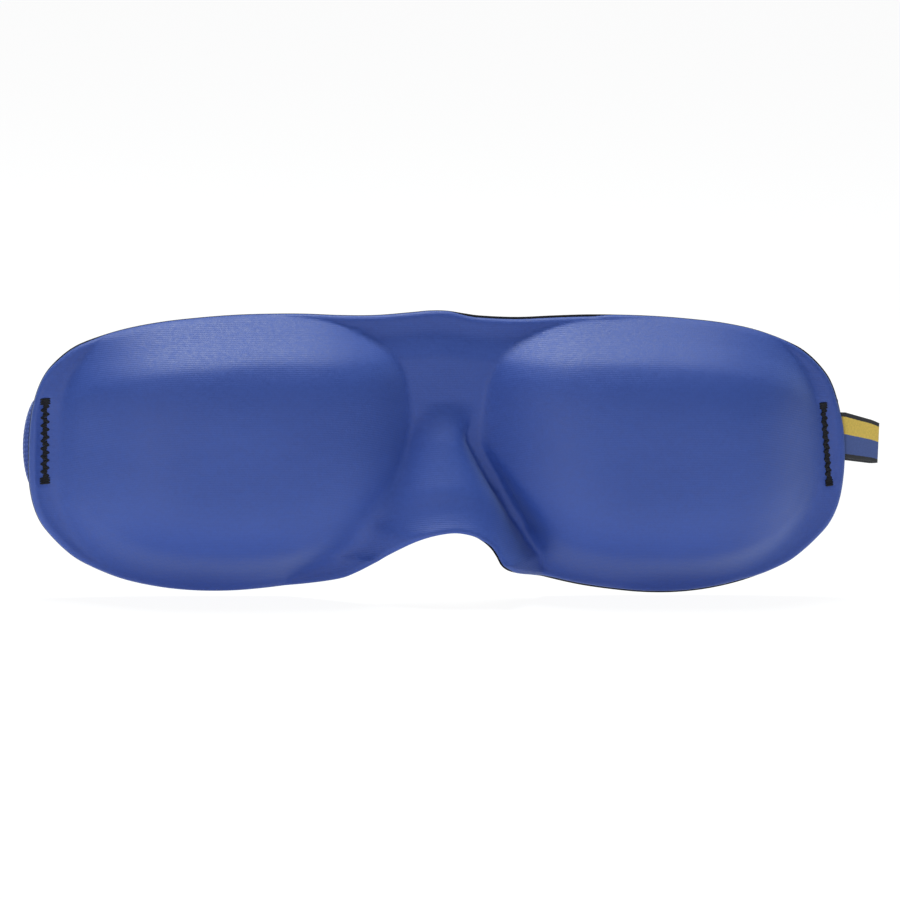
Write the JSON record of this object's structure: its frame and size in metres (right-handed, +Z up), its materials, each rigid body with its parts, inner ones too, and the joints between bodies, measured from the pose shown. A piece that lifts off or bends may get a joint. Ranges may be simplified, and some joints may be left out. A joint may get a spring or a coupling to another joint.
{
  "type": "sleep eye mask",
  "caption": "Contoured sleep eye mask: moulded knit and foam body with domed eye cavities, nose arch, hook-and-loop head strap, tab and side label.",
  "frame": {"origin": "centre of the mask between the eyes, on the plane of the lining's rim", "axes": "+X along the width towards the label end, +Y towards the wearer, +Z up as worn"},
  "size_m": [0.2471, 0.1189, 0.08],
  "materials": {
    "cover_knit": "moulded knit polyester with a soft sheen",
    "foam": "open-cell polyurethane foam",
    "lining_knit": "smooth brushed knit",
    "thread": "black polyester thread",
    "strap_band": "ribbed woven elastic",
    "hook_tape": "hook tape",
    "loop_tape": "brushed loop tape",
    "label_ribbon": "woven ribbon with plain stripes"
  },
  "bodies": {
    "mask": {"outer_cover": "cover_knit", "foam_core": "foam", "lining": "lining_knit", "strap_stitch_left": "thread", "strap_stitch_right": "thread", "strap_root_left": "strap_band", "strap_root_right": "strap_band", "label_root": "label_ribbon"},
    "strap_a": {"strap_link_left": "strap_band"},
    "strap_b": {"strap_link_middle": "strap_band"},
    "strap_c": {"strap_link_right": "strap_band"},
    "tip": {"strap_tip": "strap_band", "hook_patch": "hook_tape", "hook_patch_stitching": "thread", "tip_end_stitching": "thread"},
    "tab": {"strap_tab": "strap_band", "loop_patch": "loop_tape", "loop_patch_stitching": "thread"},
    "label": {"side_label": "label_ribbon"}
  },
  "joints": [
    {"name": "strap_swing", "type": "hinge", "parent": "mask", "child": "strap_a", "pos_m": [-0.11855, 0.00437, 0.0028], "axis": [0, 0, 1], "range_deg": [0, 90]},
    {"name": "strap_bend_middle", "type": "hinge", "parent": "strap_a", "child": "strap_b", "pos_m": [-0.07003, 0.07361, 0.0028], "axis": [0, 0, 1], "range_deg": [0, 25]},
    {"name": "strap_bend_right", "type": "hinge", "parent": "strap_b", "child": "strap_c", "pos_m": [0.01174, 0.09552, 0.0028], "axis": [0, 0, 1], "range_deg": [0, 25]},
    {"name": "closure_slide", "type": "hinge", "parent": "strap_c", "child": "tip", "pos_m": [0.00095, -0.02776, 0.0028], "axis": [0, 0, -1], "range_deg": [0, 5.5]},
    {"name": "tab_fold", "type": "hinge", "parent": "mask", "child": "tab", "pos_m": [0.1149, 0.00457, 0.0028], "axis": [0, 0, 1], "range_deg": [0, 50]},
    {"name": "label_flap", "type": "hinge", "parent": "mask", "child": "label", "pos_m": [0.1182, 0.00045, 0.004], "axis": [0, 0, 1], "range_deg": [-60, 60]}
  ],
  "couplings": [
    {"joint": "strap_bend_middle", "follows": "strap_swing", "ratio": 0.2666},
    {"joint": "strap_bend_right", "follows": "strap_swing", "ratio": 0.2666}
  ]
}
